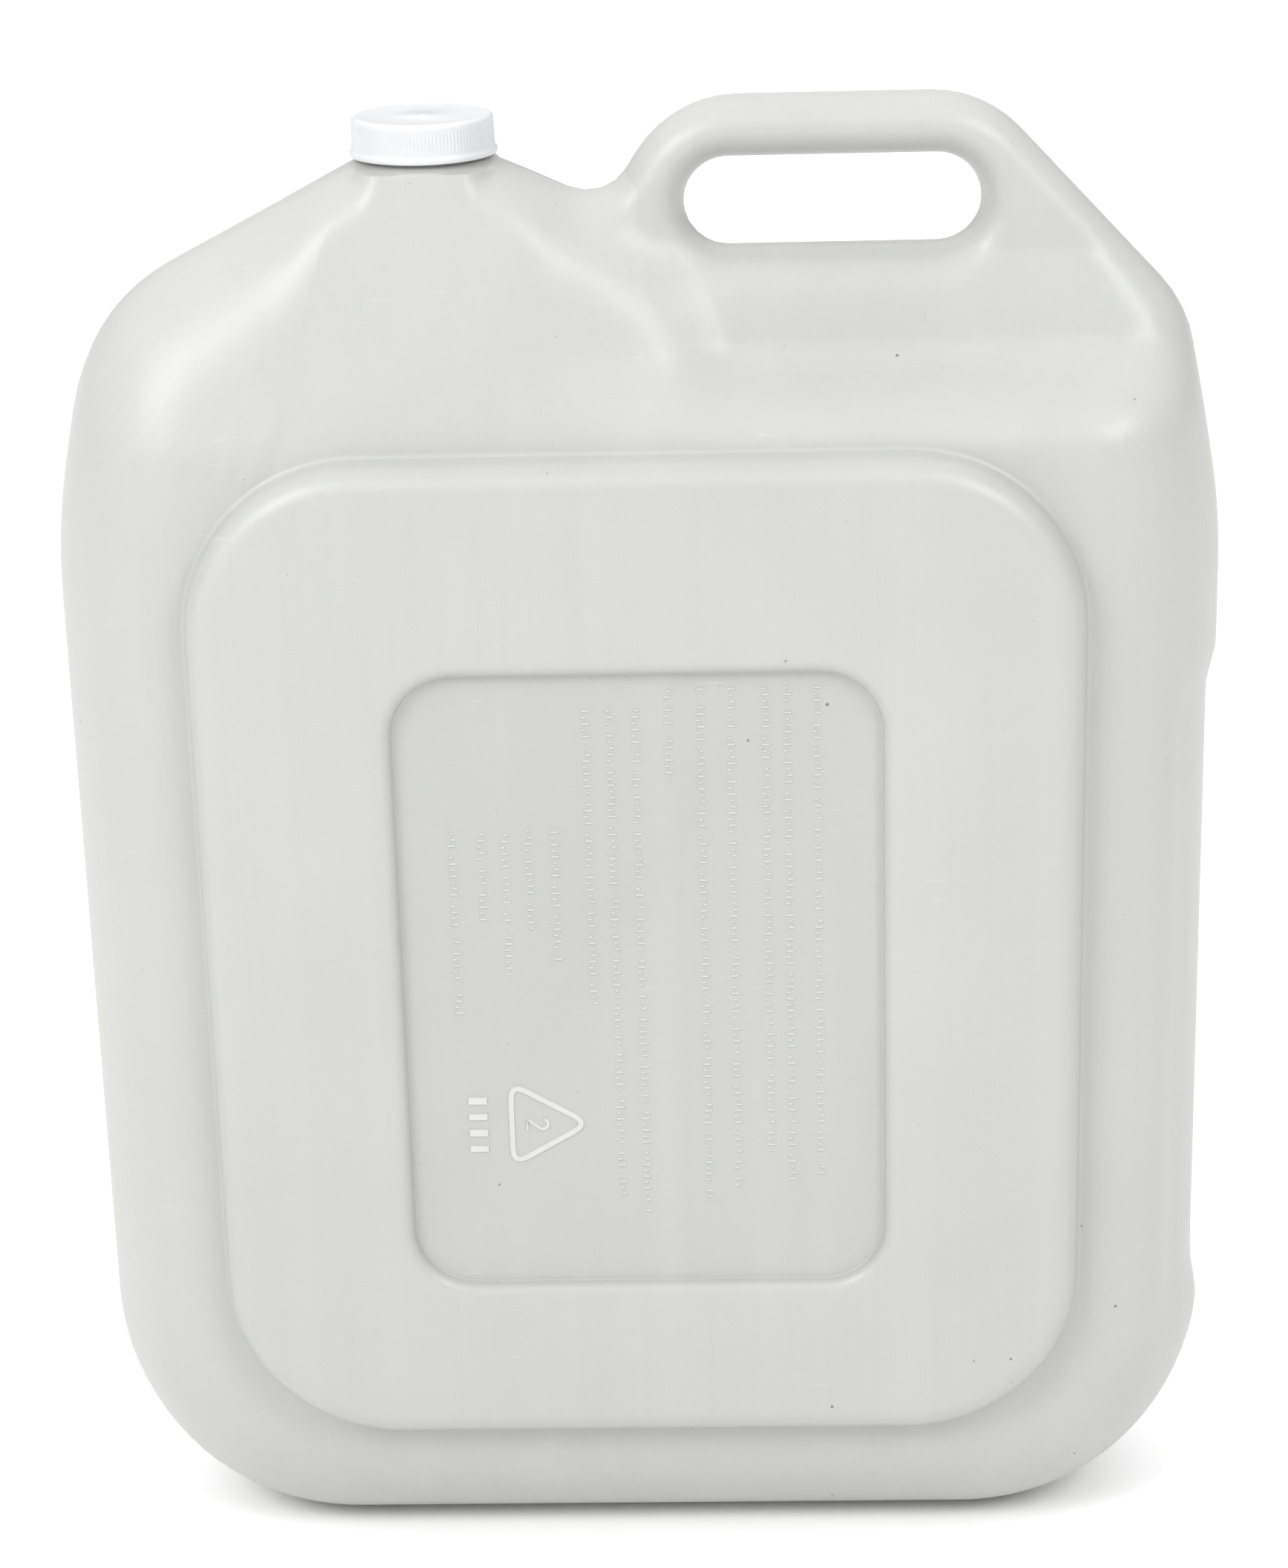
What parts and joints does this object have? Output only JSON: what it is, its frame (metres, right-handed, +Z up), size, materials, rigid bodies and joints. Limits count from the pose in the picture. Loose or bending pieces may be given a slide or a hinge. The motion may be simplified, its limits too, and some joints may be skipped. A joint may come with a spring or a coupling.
{
  "type": "oil drain container",
  "caption": "Flat blow-moulded oil drain jug with a catch basin and screw-in drain plug, a pouring spout with a ribbed screw cap, and an integral carrying handle.",
  "frame": {"origin": "centre of the bounding box, on the floor the container stands on", "axes": "+Z up to the spout and handle, -Y the underside with the foot it drains on, +Y the catch basin, +X the handle's side; the parting line lies in Y = 0"},
  "size_m": [0.445, 0.15, 0.581],
  "materials": {
    "natural_hdpe": "satin, lightly textured, translucent natural polyethylene",
    "white_polypropylene": "smooth injection-moulded white",
    "liner_foam": "matt foamed polyethylene",
    "nitrile_rubber": "black, matt"
  },
  "bodies": {
    "container": {"container_body": "natural_hdpe"},
    "spout_seal": {"spout_cap_liner": "liner_foam"},
    "spout_closure": {"spout_cap": "white_polypropylene"},
    "drain_seal": {"drain_plug_o_ring": "nitrile_rubber"},
    "drain_closure": {"drain_plug": "white_polypropylene"}
  },
  "joints": [
    {"name": "spout_cap_lift", "type": "slide", "parent": "container", "child": "spout_seal", "axis": [0, 0, 1], "range_m": [0, 0.0055]},
    {"name": "spout_cap_turn", "type": "hinge", "parent": "spout_seal", "child": "spout_closure", "pos_m": [-0.076, 0, 0.5585], "axis": [0, 0, 1], "range_deg": [0, 450]},
    {"name": "drain_plug_lift", "type": "slide", "parent": "container", "child": "drain_seal", "axis": [0, 1, 0], "range_m": [0, 0.0055]},
    {"name": "drain_plug_turn", "type": "hinge", "parent": "drain_seal", "child": "drain_closure", "pos_m": [0, 0.013, 0.349], "axis": [0, 1, 0], "range_deg": [0, 450]}
  ],
  "couplings": [
    {"joint": "spout_cap_lift", "follows": "spout_cap_turn", "m_per_rad": 0.00067322},
    {"joint": "drain_plug_lift", "follows": "drain_plug_turn", "m_per_rad": 0.00067322}
  ]
}
